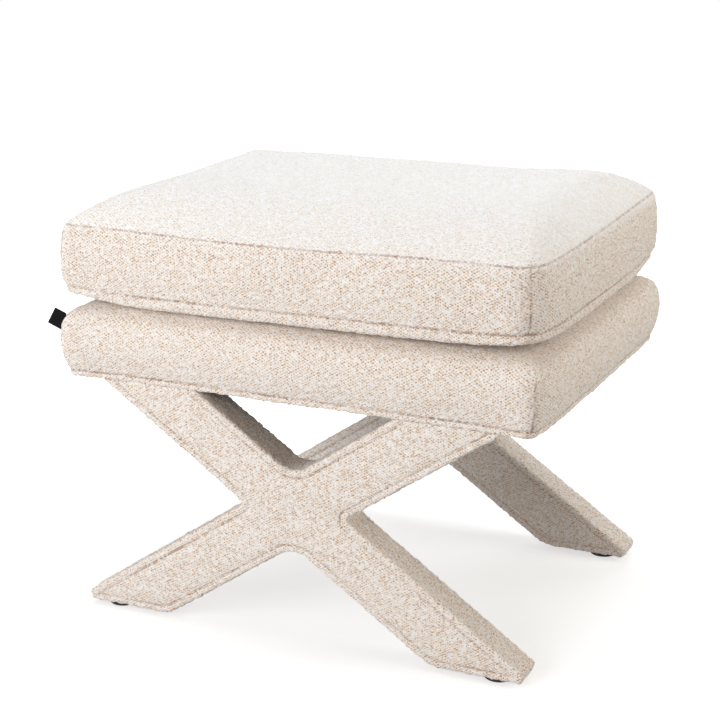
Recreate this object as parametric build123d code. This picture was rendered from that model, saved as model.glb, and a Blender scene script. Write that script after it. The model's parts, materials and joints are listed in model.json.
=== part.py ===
from build123d import *
import math
import os

os.makedirs("parts", exist_ok=True)

# A cross-leg ottoman in looped cloth: a loose box cushion lies on a padded base, and the base stands on
# a crossed leg frame at the front and another at the rear. Sizes are in millimetres.
# The origin is on the floor under the middle of the seat, with X along the front, Y to the rear and Z up.

# Cloth, rolled edges and clearances
cloth = 2.0                     # thickness of the looped cover cloth
welt_height = 8.0               # height of the rolled edges on the cushion and along the base hem
welt_roll = 3.6                 # radius of a rolled edge's corners
rest_gap = 0.3                  # between pieces that only lie on each other
hole_clearance = 0.1            # round a screw, nail or bolt, on the radius
overcut = 1.0                   # how far a cutting form runs past the piece that it cuts

# Base
base_width = 600.0              # over the fullest part of the padded sides
base_depth = 460.0
base_underside = 291.0          # floor to hem
base_corner = 20.0              # plan radius at the fullest part
tightest_corner = 10.0          # least plan radius where the shoulder closes over the top
side_fullness = 10.0            # how far the sides swell beyond the hem
fullest_height = 42.0           # hem to the fullest part of the sides
shoulder_drop = 26.0            # height of the rounded shoulder
shoulder_width = 34.0           # fullest part to where the top goes flat
band_top_return = 62.0          # fullest part to the seam with the deck cloth

# Wooden box inside the base
hem_wadding = 6.0               # wadding between the rails and the cloth, at the hem
rail_height = 60.0
rail_thickness = 30.0           # front and rear rails
side_rail_thickness = 20.0
centre_rail_thickness = 20.0
centre_rail_height = 40.0
corner_block_side = 40.0
corner_block_height = 48.0
deck_panel_thickness = 12.0
deck_foam_thickness = 11.0
hem_return = 18.0               # cloth turned under the rails
dust_cover_thickness = 1.0
dust_cover_setback = 12.0       # hem to the edge of the dust cover
staple_crown = 10.0
staple_wire = 0.8
staple_leg = 6.0
staple_spacing = 60.0
staple_setback = 6.0            # edge of the dust cover to the line of staples

# Crossed leg frames
beam_width = 69.4               # over the cloth, square to the beam
cross_height = 163.4            # floor to the middle of the crossing
arm_setback = 104.0             # end of the hem to the middle of an arm, where it meets the base
toe_height = 17.0               # floor to where the top of a leg turns down to the floor
crotch_radius = 30.0            # rounding of the upper and lower notch
side_notch_radius = 6.0         # rounding of the left and right notch
toe_radius = 10.0
heel_radius = 18.0
sole_radius = 4.0
leg_wood = 29.0                 # thickness of a wooden beam
leg_foam = 3.0
leg_welt_width = 8.0
leg_welt_proud = 1.0            # how far the rolled edge stands out from the face panel
leg_welt_roll = 2.6

# Leg fasteners and glides
bolt_diameter = 8.0
bolt_head_diameter = 13.0
bolt_head_height = 8.0
bolt_spacing = 40.0             # between the two bolts of one arm
bolt_entry = 24.0               # how deep a bolt runs into the arm
washer_diameter = 18.0
washer_thickness = 1.6
head_recess_depth = 12.0
insert_diameter = 12.0
insert_length = 20.0
glide_diameter = 34.0
glide_height = 4.0
glide_setback = 32.0            # toe to the middle of a glide
nail_diameter = 2.6
nail_head_diameter = 7.0
nail_head_height = 1.2
nail_length = 22.0

# Wood screws
screw_diameter = 4.0
screw_head_diameter = 8.0
screw_head_height = 3.0
block_screw_length = 56.0
deck_screw_length = 34.0
deck_screw_setback = 32.0       # end of a rail to its first deck screw
block_screw_step = 9.0          # the two screws of a block lie this far above and below its middle

# Cushion
cushion_end_setback = 1.0       # fullest part of the base to the fullest part of the cushion, at its ends
cushion_front_setback = 4.0     # the same at the front and the rear
cushion_corner = 34.0           # plan radius at the fullest part
boxing_height = 76.0            # between the two rolled edges
boxing_fullness = 9.0           # how far the boxing swells beyond the seams
cushion_crown = 34.0            # how far the middle of the top rises above the rolled edge
crown_run = 95.0                # seam to where the crown goes flat
panel_sink = 3.0                # how far the top panel starts below the top of its rolled edge
welt_depth = 8.0                # width of the rolled edge, seen from above
wrap_thickness = 10.0           # fibre wrap round and over the foam core

# Zip in the rear boxing
zip_setback = 79.0              # end of the cushion to the end of the zip
zip_slot = 12.0                 # height of the slot in the boxing
zip_tape_thickness = 1.0
coil_height = 4.0
coil_thickness = 2.4
slider_length = 11.0
slider_wall = 1.4
slider_clearance = 0.3
slider_park = 8.0               # closed end of the zip to the slider
ear_height = 4.0
ear_width = 1.4
pull_width = 5.0
pull_length = 24.0
pull_thickness = 1.4
pin_diameter = 1.4
pin_clearance = 0.1

# Woven tab in the front left corner seam of the base
tab_height = 21.0
tab_length = 15.0               # seam to the fold
tab_tuck = 6.0                  # sewn into the seam
tab_thickness = 1.2
tab_drop = 11.0                 # deck to the top of the tab
tab_swing = 36.0                # degrees from square to the side, towards the rear
tab_lean = 20.0                 # degrees that the tab leans in with the shoulder

# Heights that follow from the layers
rail_bottom = base_underside + cloth
rail_top = rail_bottom + rail_height
deck_panel_top = rail_top + deck_panel_thickness
deck_foam_top = deck_panel_top + deck_foam_thickness
base_top = deck_foam_top + cloth
band_bottom = base_underside + welt_height
fullest_z = base_underside + fullest_height
leg_top = base_underside - dust_cover_thickness
cushion_bottom = base_top + rest_gap
boxing_bottom = cushion_bottom + welt_height
boxing_top = boxing_bottom + boxing_height
boxing_middle = boxing_bottom + boxing_height / 2
top_welt_top = boxing_top + welt_height
panel_base = top_welt_top - panel_sink

# Plan sizes that follow
hem_width = base_width - 2 * side_fullness
hem_depth = base_depth - 2 * side_fullness
hem_corner = base_corner - side_fullness
rails_width = hem_width - 2 * (cloth + hem_wadding)
rails_depth = hem_depth - 2 * (cloth + hem_wadding)
side_rail_length = rails_depth - 2 * rail_thickness
rail_y = rails_depth / 2 - rail_thickness / 2
side_rail_x = rails_width / 2 - side_rail_thickness / 2
cushion_width = base_width - 2 * cushion_end_setback
cushion_depth = base_depth - 2 * cushion_front_setback
seam_width = cushion_width - 2 * boxing_fullness
seam_depth = cushion_depth - 2 * boxing_fullness
seam_corner = cushion_corner - boxing_fullness
panel_width = seam_width - 2 * welt_depth
panel_depth = seam_depth - 2 * welt_depth
panel_corner = seam_corner - welt_depth
zip_length = cushion_width - 2 * zip_setback

# Leg frame sizes that follow
leg_side = leg_welt_proud + cloth + leg_foam
leg_thickness = leg_wood + 2 * leg_side
arm_x = hem_width / 2 - arm_setback
leg_slope = (leg_top - cross_height) / arm_x
leg_angle = math.atan(leg_slope)
front_leg_face = -rail_y - leg_thickness / 2
bolt_x = arm_x - bolt_entry / leg_slope / 2
bolt_places = [(side * (bolt_x + end * bolt_spacing / 2), rail) for rail in (-rail_y, rail_y)
               for side in (-1, 1) for end in (-1, 1)]
bolt_bottom = leg_top - bolt_entry
bolt_seat = rail_top - head_recess_depth


def rounded_plate(width, depth, corner, bottom, height):
    """A flat plate with rounded plan corners, centred on the Z axis."""
    outline = Plane.XY.offset(bottom) * RectangleRounded(width, depth, corner)
    return extrude(outline, amount=height, dir=(0, 0, 1))


def block(width, depth, height, x, y, bottom):
    """A plain rectangular block, given by the middle of its underside."""
    return Pos(x, y, bottom) * Box(width, depth, height, align=(Align.CENTER, Align.CENTER, Align.MIN))


def rod(diameter, height, x, y, bottom):
    """An upright round bar, given by the middle of its lower end."""
    return Pos(x, y, bottom) * Cylinder(diameter / 2, height, align=(Align.CENTER, Align.CENTER, Align.MIN))


def screw(length):
    """A countersunk wood screw that points down from the origin, with its head flush at the top."""
    head = Pos(0, 0, -screw_head_height) * Cone(
        screw_diameter / 2, screw_head_diameter / 2, screw_head_height,
        align=(Align.CENTER, Align.CENTER, Align.MIN))
    return head + rod(screw_diameter, length, 0, 0, -length)


def screw_hole(length):
    """The space that a wood screw needs, a little wider than the screw."""
    head = Pos(0, 0, -screw_head_height) * Cone(
        screw_diameter / 2 + hole_clearance, screw_head_diameter / 2 + hole_clearance, screw_head_height,
        align=(Align.CENTER, Align.CENTER, Align.MIN))
    shank = rod(screw_diameter + 2 * hole_clearance, length + hole_clearance, 0, 0, -length - hole_clearance)
    return head + shank


def base_form(offset, bottom):
    """The padded base's outer form, drawn in by an offset: swelling sides, then a rounded shoulder."""
    top = base_top - offset
    shoulder_bottom = top - shoulder_drop

    def side_inset(z):
        return side_fullness * ((z - fullest_z) / fullest_height) ** 2

    start = side_inset(shoulder_bottom)
    rows = [(side_inset(z), z) for z in (bottom, (bottom + fullest_z) / 2, fullest_z, shoulder_bottom)]
    for turn in (30, 60, 90):
        inset = start + (shoulder_width - start) * (1 - math.cos(math.radians(turn)))
        rows.append((inset, shoulder_bottom + shoulder_drop * math.sin(math.radians(turn))))
    sections = []
    for inset, z in rows:
        width = base_width - 2 * (inset + offset)
        depth = base_depth - 2 * (inset + offset)
        corner = max(base_corner - inset - offset, tightest_corner)
        sections.append(Plane.XY.offset(z) * RectangleRounded(width, depth, corner))
    return loft(sections)


def boxing_form(offset, bottom, top):
    """The cushion's boxing, drawn in by an offset: it swells most at half its height."""
    sections = []
    for share in (0, 0.25, 0.5, 0.75, 1):
        z = bottom + share * (top - bottom)
        inset = boxing_fullness * (2 * (z - boxing_middle) / boxing_height) ** 2 + offset
        sections.append(Plane.XY.offset(z) * RectangleRounded(
            cushion_width - 2 * inset, cushion_depth - 2 * inset, cushion_corner - inset))
    return loft(sections)


def crown_form(bottom):
    """The crowned space under the cushion's top panel, from a flat underside."""
    rise = cushion_crown + panel_sink
    sections = []
    for share in (0, 0.08, 0.25, 0.5, 0.75, 1):
        inset = crown_run * share
        z = bottom + rise * (1 - (1 - share) ** 3)
        sections.append(Plane.XY.offset(z) * RectangleRounded(
            panel_width - 2 * inset, panel_depth - 2 * inset, panel_corner))
    return loft(sections)


def corner_wedges(width, depth, reach, bottom, top):
    """Four mitred blocks, front, rear, left and right, that cut a rounded ring at its corners."""
    half_x = width / 2 + overcut
    half_y = depth / 2 + overcut
    inner_x = half_x - reach
    inner_y = half_y - reach
    front = [(-half_x, -half_y), (half_x, -half_y), (inner_x, -inner_y), (-inner_x, -inner_y)]
    left = [(-half_x, -half_y), (-inner_x, -inner_y), (-inner_x, inner_y), (-half_x, half_y)]
    outlines = {
        "front": front,
        "rear": [(x, -y) for x, y in front],
        "left": left,
        "right": [(-x, y) for x, y in left],
    }
    wedges = {}
    for side, points in outlines.items():
        face = make_face(Plane.XY.offset(bottom) * Polyline(*points, close=True))
        wedges[side] = extrude(face, amount=top - bottom, dir=(0, 0, 1))
    return wedges


def rolled_ring(width, depth, corner, ring_depth, bottom, rounded):
    """A rolled edge: a low ring of cloth whose named edges are rounded over."""
    outer = rounded_plate(width, depth, corner, bottom, welt_height)
    inner = rounded_plate(width - 2 * ring_depth, depth - 2 * ring_depth, corner - ring_depth,
                          bottom - overcut, welt_height + 2 * overcut)
    levels = {"bottom": bottom, "top": bottom + welt_height}
    picked = []
    for level in rounded:
        picked += outer.edges().filter_by_position(Axis.Z, levels[level], levels[level])
    return fillet(picked, welt_roll) - inner


# The base's wooden box
def rails():
    """Four rails with their bolt holes, screw holes and staple slots, and the centre rail."""
    pieces = {
        "front_rail": block(rails_width, rail_thickness, rail_height, 0, -rail_y, rail_bottom),
        "rear_rail": block(rails_width, rail_thickness, rail_height, 0, rail_y, rail_bottom),
        "left_rail": block(side_rail_thickness, side_rail_length, rail_height, -side_rail_x, 0, rail_bottom),
        "right_rail": block(side_rail_thickness, side_rail_length, rail_height, side_rail_x, 0, rail_bottom),
    }
    for x, y in bolt_places:
        name = "front_rail" if y < 0 else "rear_rail"
        pieces[name] -= rod(bolt_diameter + 2 * hole_clearance, rail_height, x, y, rail_bottom)
        pieces[name] -= rod(washer_diameter + 2 * hole_clearance, head_recess_depth, x, y, bolt_seat)
    holes = block_screws(screw_hole) + deck_screws(screw_hole)
    for name in pieces:
        pieces[name] = pieces[name] - holes - staples()
    centre_length = rails_depth - 2 * rail_thickness
    pieces["centre_rail"] = block(centre_rail_thickness, centre_length, centre_rail_height, 0, 0,
                                  rail_top - centre_rail_height)
    return pieces


def block_middle():
    """Plan place of the rear right corner block's middle."""
    x = rails_width / 2 - side_rail_thickness - corner_block_side / 2
    y = rails_depth / 2 - rail_thickness - corner_block_side / 2
    return x, y


def corner_blocks():
    x, y = block_middle()
    blocks = [block(corner_block_side, corner_block_side, corner_block_height, sx * x, sy * y, rail_bottom)
              for sx in (-1, 1) for sy in (-1, 1)]
    holes = block_screws(screw_hole)
    return Compound(children=[piece - holes for piece in blocks])


def block_screws(shape):
    """Two screws through each corner block, one into the side rail and one into the front or rear rail."""
    x, y = block_middle()
    middle_z = rail_bottom + corner_block_height / 2
    half = corner_block_side / 2
    pieces = []
    for sx in (-1, 1):
        for sy in (-1, 1):
            to_side = Pos(sx * (x - half), sy * y, middle_z + block_screw_step) * Rot(0, -90 * sx, 0)
            to_end = Pos(sx * x, sy * (y - half), middle_z - block_screw_step) * Rot(90 * sy, 0, 0)
            pieces.append(to_side * shape(block_screw_length))
            pieces.append(to_end * shape(block_screw_length))
    return Compound(children=pieces)


def deck_screws(shape):
    """Screws through the deck panel into the front and rear rails, at their ends and near the middle."""
    end_x = rails_width / 2 - deck_screw_setback
    near_x = bolt_x - 1.5 * bolt_spacing
    pieces = [Pos(x, y, deck_panel_top) * shape(deck_screw_length)
              for x in (-end_x, -near_x, near_x, end_x) for y in (-rail_y, rail_y)]
    return Compound(children=pieces)


def deck_panel():
    return block(rails_width, rails_depth, deck_panel_thickness, 0, 0, rail_top) - deck_screws(screw_hole)


# The base's padding and cover
def base_padding():
    """Foam over the deck with a rounded shoulder, and a strip of wadding round the sides."""
    form = base_form(cloth, band_bottom)
    foam = split(form, bisect_by=Plane.XY.offset(deck_panel_top), keep=Keep.TOP)
    sides = split(form, bisect_by=Plane.XY.offset(deck_panel_top), keep=Keep.BOTTOM)
    box_height = deck_panel_top - band_bottom + 2 * overcut
    return foam, sides - block(rails_width, rails_depth, box_height, 0, 0, band_bottom - overcut)


def deck_cloth():
    width = base_width - 2 * band_top_return
    depth = base_depth - 2 * band_top_return
    return block(width, depth, cloth, 0, 0, deck_foam_top)


def base_bands():
    """The four side bands of the cover, sewn at the corners and drawn in over the shoulder."""
    skin = base_form(0, band_bottom) - base_form(cloth, band_bottom)
    width = base_width - 2 * band_top_return
    depth = base_depth - 2 * band_top_return
    skin -= block(width, depth, 2 * cloth, 0, 0, deck_foam_top - cloth / 2)
    reach = band_top_return + 2 * overcut
    wedges = corner_wedges(base_width, base_depth, reach, base_underside, base_top + overcut)
    return {side: skin & wedge for side, wedge in wedges.items()}


def hem_welt():
    """The rolled hem, with the cloth that turns under the rails."""
    ring_depth = cloth + hem_wadding
    roll = rolled_ring(hem_width, hem_depth, hem_corner, ring_depth, base_underside, ("bottom", "top"))
    roll -= block(rails_width, rails_depth, 2 * welt_height, 0, 0, base_underside + cloth)
    under = block(rails_width, rails_depth, cloth, 0, 0, base_underside)
    under -= block(rails_width - 2 * hem_return, rails_depth - 2 * hem_return, 2 * cloth, 0, 0,
                   base_underside - cloth / 2)
    for x, y in bolt_places:
        under -= rod(bolt_diameter + 2 * hole_clearance, 2 * cloth, x, y, base_underside - cloth / 2)
    return roll + under - staples()


def dust_cover():
    width = hem_width - 2 * dust_cover_setback
    depth = hem_depth - 2 * dust_cover_setback
    sheet = block(width, depth, dust_cover_thickness, 0, 0, leg_top)
    for x, y in bolt_places:
        sheet -= rod(bolt_diameter + 2 * hole_clearance, 2 * dust_cover_thickness, x, y,
                     leg_top - dust_cover_thickness / 2)
    return sheet - staples()


def staple():
    """One staple, pointing up, with the top of its crown at the origin."""
    crown = block(staple_crown, staple_wire, staple_wire, 0, 0, -staple_wire)
    leg_x = staple_crown / 2 - staple_wire / 2
    legs = [block(staple_wire, staple_wire, staple_leg + staple_wire, side * leg_x, 0, -staple_wire)
            for side in (-1, 1)]
    return crown + legs[0] + legs[1]


def staples():
    """Staples along the edge of the dust cover, left out where the leg frames stand against it."""
    line_x = hem_width / 2 - dust_cover_setback - staple_setback
    line_y = hem_depth / 2 - dust_cover_setback - staple_setback
    arm_half = beam_width / 2 / math.sin(leg_angle) + staple_crown
    pieces = []
    along_x = int(2 * line_x / staple_spacing)
    for index in range(along_x + 1):
        x = (index - along_x / 2) * staple_spacing
        if abs(abs(x) - arm_x) > arm_half:
            pieces += [Pos(x, side * line_y, leg_top) * staple() for side in (-1, 1)]
    free_y = line_y - leg_thickness - staple_crown
    along_y = int(2 * free_y / staple_spacing)
    for index in range(along_y + 1):
        y = (index - along_y / 2) * staple_spacing
        pieces += [Pos(side * line_x, y, leg_top) * Rot(0, 0, 90) * staple() for side in (-1, 1)]
    return Compound(children=pieces)


def label_tab():
    """A folded woven tab that stands out of the front left corner seam, just under the shoulder."""
    seam_inset = base_corner * (1 - math.sqrt(0.5))
    seam_x = -base_width / 2 + seam_inset
    seam_y = -base_depth / 2 + seam_inset
    shape = Pos(tab_tuck, 0, 0) * Box(
        tab_length + tab_tuck, tab_thickness, tab_height, align=(Align.MAX, Align.CENTER, Align.CENTER))
    fold = shape.edges().filter_by(Axis.Z).group_by(Axis.X)[0]
    shape = fillet(fold, 0.45 * tab_thickness)
    middle_z = base_top - tab_drop - tab_height / 2
    placed = Pos(seam_x, seam_y, middle_z) * Rot(0, 0, -tab_swing) * Rot(0, tab_lean, 0) * shape
    return placed - base_form(-rest_gap, band_bottom)


# The crossed leg frames
def leg_points():
    """Corners of the right half of a leg frame's outline, as x and z, with the arms run on past the base."""
    rise = beam_width / 2 / math.cos(leg_angle)
    run_on = leg_top + 2 * leg_welt_width
    toe_x = (cross_height + rise - toe_height) / leg_slope
    return {
        "upper_notch": (0, cross_height + rise),
        "arm_inner": ((run_on - cross_height - rise) / leg_slope, run_on),
        "arm_outer": ((run_on - cross_height + rise) / leg_slope, run_on),
        "side_notch": (rise / leg_slope, cross_height),
        "toe": (toe_x, toe_height),
        "sole": (toe_x, glide_height),
        "heel": ((cross_height - rise - glide_height) / leg_slope, glide_height),
        "lower_notch": (0, cross_height - rise),
    }


def leg_plane(y):
    """An upright drawing plane across the depth, with x to the right and z up."""
    return Plane(origin=(0, y, 0), x_dir=(1, 0, 0), z_dir=(0, -1, 0))


def leg_outline(inset):
    """The outline of a whole leg frame, rounded at its notches and toes and drawn in by an inset."""
    points = leg_points()
    right = list(points.values())
    left = [(-x, z) for x, z in right[-2:0:-1]]
    face = make_face(Polyline(*right, *left, close=True))
    radii = {
        "upper_notch": crotch_radius,
        "lower_notch": crotch_radius,
        "side_notch": side_notch_radius,
        "toe": toe_radius,
        "sole": sole_radius,
        "heel": heel_radius,
    }
    for corner, radius in radii.items():
        x, z = points[corner]
        for side in ((1,) if x == 0 else (-1, 1)):
            vertex = face.vertices().sort_by_distance((side * x, z, 0))[0]
            face = fillet(vertex, radius)
    if inset:
        face = offset(face, amount=-inset)
    return face & Rectangle(4 * arm_x, 2 * leg_top)


def leg_slab(outline, start, thickness):
    """A leg outline made solid, from a place in the depth towards the rear."""
    return extrude(leg_plane(start) * outline, amount=thickness, dir=(0, 1, 0))


def beam_outline(side):
    """One beam that rises to the right, or to the left where side is -1."""
    strip = Rectangle(8 * arm_x, beam_width - 2 * cloth)
    return Pos(0, cross_height) * Rot(0, 0, side * math.degrees(leg_angle)) * strip & leg_outline(cloth)


def leg_beams():
    """The two wooden beams of the front frame, halved into each other at the crossing."""
    start = front_leg_face + leg_side
    rising = leg_slab(beam_outline(1), start, leg_wood) - leg_slab(beam_outline(-1), start, leg_wood / 2)
    falling = leg_slab(beam_outline(-1), start, leg_wood)
    falling -= leg_slab(beam_outline(1), start + leg_wood / 2, leg_wood / 2)
    holes = [rod(insert_diameter + 2 * hole_clearance, insert_length, x, y, leg_top - insert_length)
             + rod(bolt_diameter + 2 * hole_clearance, bolt_entry + overcut, x, y, bolt_bottom - overcut)
             for x, y in bolt_places if y < 0]
    cuts = Compound(children=holes + glide_places(nail_hole, (-1,)))
    return rising - cuts, falling - cuts


def leg_foam_sheets():
    sheet = leg_outline(leg_welt_width)
    start = front_leg_face + leg_welt_proud + cloth
    front = leg_slab(sheet, start, leg_foam)
    back = leg_slab(sheet, front_leg_face + leg_side + leg_wood, leg_foam)
    return Compound(children=[front, back])


def leg_panels():
    """The cloth on the front frame's outer and inner face."""
    sheet = leg_outline(leg_welt_width)
    outer = leg_slab(sheet, front_leg_face + leg_welt_proud, cloth)
    inner = leg_slab(sheet, front_leg_face + leg_thickness - leg_welt_proud - cloth, cloth)
    return outer, inner


def leg_welts():
    """Rolled edges round both faces of the front frame."""
    inner = leg_slab(leg_outline(leg_welt_width), front_leg_face - overcut, leg_thickness + 2 * overcut)
    back_face = front_leg_face + leg_thickness
    pieces = []
    for face_y, start in ((front_leg_face, front_leg_face), (back_face, back_face - leg_side)):
        slab = leg_slab(leg_outline(0), start, leg_side)
        edges = slab.edges().filter_by_position(Axis.Y, face_y, face_y)
        edges = [edge for edge in edges if edge.center().Z < leg_top - hole_clearance]
        pieces.append(fillet(edges, leg_welt_roll) - inner)
    return Compound(children=pieces)


def leg_gussets():
    """Cloth along the edges of the front frame: upper notch, lower notch, and the left and right ends."""
    rim = leg_outline(0) - leg_outline(cloth)
    ring = leg_slab(rim, front_leg_face + leg_side, leg_wood)
    ring -= Compound(children=glide_places(nail_hole, (-1,)))
    heel_x, heel_z = leg_points()["heel"]
    reach_x, reach_z = leg_points()["arm_outer"]
    below = [(0, cross_height), (heel_x, cross_height - leg_slope * heel_x), (heel_x, heel_z - overcut)]
    below += [(-x, z) for x, z in below[:0:-1]]
    above = [(0, cross_height), (reach_x, cross_height + leg_slope * reach_x), (reach_x, reach_z + overcut)]
    above += [(-x, z) for x, z in above[:0:-1]]
    start = front_leg_face
    below_slab = leg_slab(make_face(Polyline(*below, close=True)), start, leg_thickness)
    above_slab = leg_slab(make_face(Polyline(*above, close=True)), start, leg_thickness)
    return ring & above_slab, ring & below_slab, ring - above_slab - below_slab


def glide_places(shape, rails_used):
    """One shape under each foot of the chosen frames."""
    glide_x = leg_points()["sole"][0] - glide_setback
    return [Pos(side * glide_x, rail * rail_y, 0) * shape() for side in (-1, 1) for rail in rails_used]


def nail():
    head = rod(nail_head_diameter, nail_head_height, 0, 0, nail_head_height)
    return head + rod(nail_diameter, nail_length, 0, 0, nail_head_height)


def nail_hole():
    head = rod(nail_head_diameter + 2 * hole_clearance, 2 * nail_head_height, 0, 0, 0)
    shank = rod(nail_diameter + 2 * hole_clearance, nail_length + hole_clearance, 0, 0, nail_head_height)
    return head + shank


def glide():
    """A round glide with an eased lower rim and a sunk place for its nail."""
    disc = rod(glide_diameter, glide_height, 0, 0, 0)
    rim = disc.edges().filter_by_position(Axis.Z, 0, 0)
    return fillet(rim, glide_height / 4) - nail_hole()


def leg_bolt(x, y):
    shank_top = bolt_seat + washer_thickness
    shank = rod(bolt_diameter, shank_top - bolt_bottom, x, y, bolt_bottom)
    return shank + rod(bolt_head_diameter, bolt_head_height, x, y, shank_top)


def leg_washer(x, y):
    ring = rod(washer_diameter, washer_thickness, x, y, bolt_seat)
    return ring - rod(bolt_diameter + 2 * hole_clearance, 2 * washer_thickness, x, y,
                      bolt_seat - washer_thickness / 2)


def leg_insert(x, y):
    sleeve = rod(insert_diameter, insert_length, x, y, leg_top - insert_length)
    return sleeve - rod(bolt_diameter + 2 * hole_clearance, 2 * insert_length, x, y,
                        leg_top - 1.5 * insert_length)


# The cushion
def foam_core():
    """A foam slab whose crown lies under the top panel by the thickness of the wrap."""
    bottom = cushion_bottom + cloth + wrap_thickness
    height = boxing_top - bottom
    inset = cloth + wrap_thickness
    slab = rounded_plate(seam_width - 2 * inset, seam_depth - 2 * inset, seam_corner - inset, bottom, height)
    return slab + crown_form(panel_base - inset)


def fibre_wraps():
    """Fibre above and below the core, meeting at half the height of the boxing."""
    inside = boxing_form(cloth, boxing_bottom, boxing_top)
    upper = split(inside, bisect_by=Plane.XY.offset(boxing_middle), keep=Keep.TOP)
    lower = split(inside, bisect_by=Plane.XY.offset(boxing_middle), keep=Keep.BOTTOM)
    upper += rounded_plate(panel_width, panel_depth, panel_corner, boxing_top,
                           panel_base - cloth - boxing_top)
    upper += crown_form(panel_base - cloth)
    lower += rounded_plate(panel_width, panel_depth, panel_corner, cushion_bottom + cloth,
                           boxing_bottom - cushion_bottom - cloth)
    pocket = block(zip_length, coil_thickness + cloth, zip_slot, 0,
                   cushion_depth / 2 - cloth - coil_thickness / 2, boxing_middle - zip_slot / 2)
    core = foam_core()
    return upper - core - pocket, lower - core - pocket


def cushion_top_panel():
    return crown_form(panel_base) - crown_form(panel_base - cloth)


def cushion_bottom_panel():
    return rounded_plate(panel_width, panel_depth, panel_corner, cushion_bottom, cloth)


def cushion_boxing():
    """The four strips round the cushion's sides. The rear one is split by the zip."""
    skin = boxing_form(0, boxing_bottom, boxing_top)
    skin -= boxing_form(cloth, boxing_bottom - overcut, boxing_top + overcut)
    wedges = corner_wedges(cushion_width, cushion_depth, cushion_corner + cloth, boxing_bottom, boxing_top)
    strips = {side: skin & wedge for side, wedge in wedges.items()}
    slot = block(zip_length, 4 * cloth, zip_slot, 0, cushion_depth / 2, boxing_middle - zip_slot / 2)
    rear = strips.pop("rear") - slot
    middle = Plane.XY.offset(boxing_middle)
    strips["rear_upper"] = split(rear, bisect_by=middle, keep=Keep.TOP)
    strips["rear_lower"] = split(rear, bisect_by=middle, keep=Keep.BOTTOM)
    return strips


def cushion_welts():
    top = rolled_ring(seam_width, seam_depth, seam_corner, welt_depth, boxing_top, ("bottom", "top"))
    bottom = rolled_ring(seam_width, seam_depth, seam_corner, welt_depth, cushion_bottom, ("bottom", "top"))
    return top, bottom


# The zip, in the middle of the rear boxing
zip_y = cushion_depth / 2 - cloth
coil_y = zip_y + coil_thickness / 2
slider_x = zip_length / 2 - slider_park - slider_length / 2
slider_back = zip_y + zip_tape_thickness + slider_clearance
slider_face = zip_y + coil_thickness + slider_clearance + slider_wall
pin_y = slider_face + ear_height / 2


def zip_tapes():
    height = zip_slot / 2 - coil_height / 2
    offset = coil_height / 2 + height / 2
    strips = [Pos(0, zip_y + zip_tape_thickness / 2, boxing_middle + side * offset)
              * Box(zip_length, zip_tape_thickness, height) for side in (-1, 1)]
    return Compound(children=strips)


def zip_coil():
    return Pos(0, coil_y, boxing_middle) * Box(zip_length, coil_thickness, coil_height)


def zip_slider():
    """A slider that straddles the coil, with two ears and a pin for the pull."""
    channel = coil_height + 2 * slider_clearance
    height = channel + 2 * slider_wall
    body = Pos(slider_x, (slider_back + slider_face) / 2, boxing_middle) * Box(
        slider_length, slider_face - slider_back, height)
    body -= Pos(slider_x, slider_face - slider_wall, boxing_middle) * Box(
        2 * slider_length, coil_thickness + slider_clearance, channel,
        align=(Align.CENTER, Align.MAX, Align.CENTER))
    ear_z = pull_width / 2 + slider_clearance + ear_width / 2
    for side in (-1, 1):
        body += Pos(slider_x, slider_face, boxing_middle + side * ear_z) * Box(
            ear_height, ear_height, ear_width, align=(Align.CENTER, Align.MIN, Align.CENTER))
    return body + Pos(slider_x, pin_y, boxing_middle) * Cylinder(pin_diameter / 2, 2 * ear_z)


def zip_pull():
    """A flat pull with a round eye on the slider's pin. It lies along the zip."""
    eye = Pos(slider_x, pin_y, boxing_middle) * Cylinder(pin_diameter + pin_clearance, pull_width)
    blade = Pos(slider_x, pin_y, boxing_middle) * Box(
        pull_length, pull_thickness, pull_width, align=(Align.MAX, Align.CENTER, Align.CENTER))
    blade = fillet(blade.edges().filter_by(Axis.Y).group_by(Axis.X)[0], pull_width / 3)
    bore = Pos(slider_x, pin_y, boxing_middle) * Cylinder(pin_diameter / 2 + pin_clearance, 2 * pull_width)
    return eye + blade - bore


nodes = rails()
nodes["corner_blocks"] = corner_blocks()
nodes["corner_block_screws"] = block_screws(screw)
nodes["deck_panel"] = deck_panel()
nodes["deck_screws"] = deck_screws(screw)
nodes["deck_foam"], nodes["side_wadding"] = base_padding()
nodes["deck_cloth"] = deck_cloth()
for side_name, band in base_bands().items():
    nodes[f"base_{side_name}_band"] = band
nodes["hem_welt"] = hem_welt()
nodes["dust_cover"] = dust_cover()
nodes["dust_cover_staples"] = staples()
nodes["label_tab"] = label_tab()

front_leg = {}
front_leg["rising_beam"], front_leg["falling_beam"] = leg_beams()
front_leg["foam_sheets"] = leg_foam_sheets()
front_leg["outer_panel"], front_leg["inner_panel"] = leg_panels()
front_leg["welts"] = leg_welts()
front_leg["upper_gusset"], front_leg["lower_gusset"], front_leg["end_gussets"] = leg_gussets()
for piece_name, piece in front_leg.items():
    nodes[f"front_leg_{piece_name}"] = piece
    nodes[f"rear_leg_{piece_name}"] = mirror(piece, about=Plane.XZ)

nodes["leg_bolts"] = Compound(children=[leg_bolt(x, y) for x, y in bolt_places])
nodes["leg_washers"] = Compound(children=[leg_washer(x, y) for x, y in bolt_places])
nodes["leg_inserts"] = Compound(children=[leg_insert(x, y) for x, y in bolt_places])
nodes["glides"] = Compound(children=glide_places(glide, (-1, 1)))
nodes["glide_nails"] = Compound(children=glide_places(nail, (-1, 1)))

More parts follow.
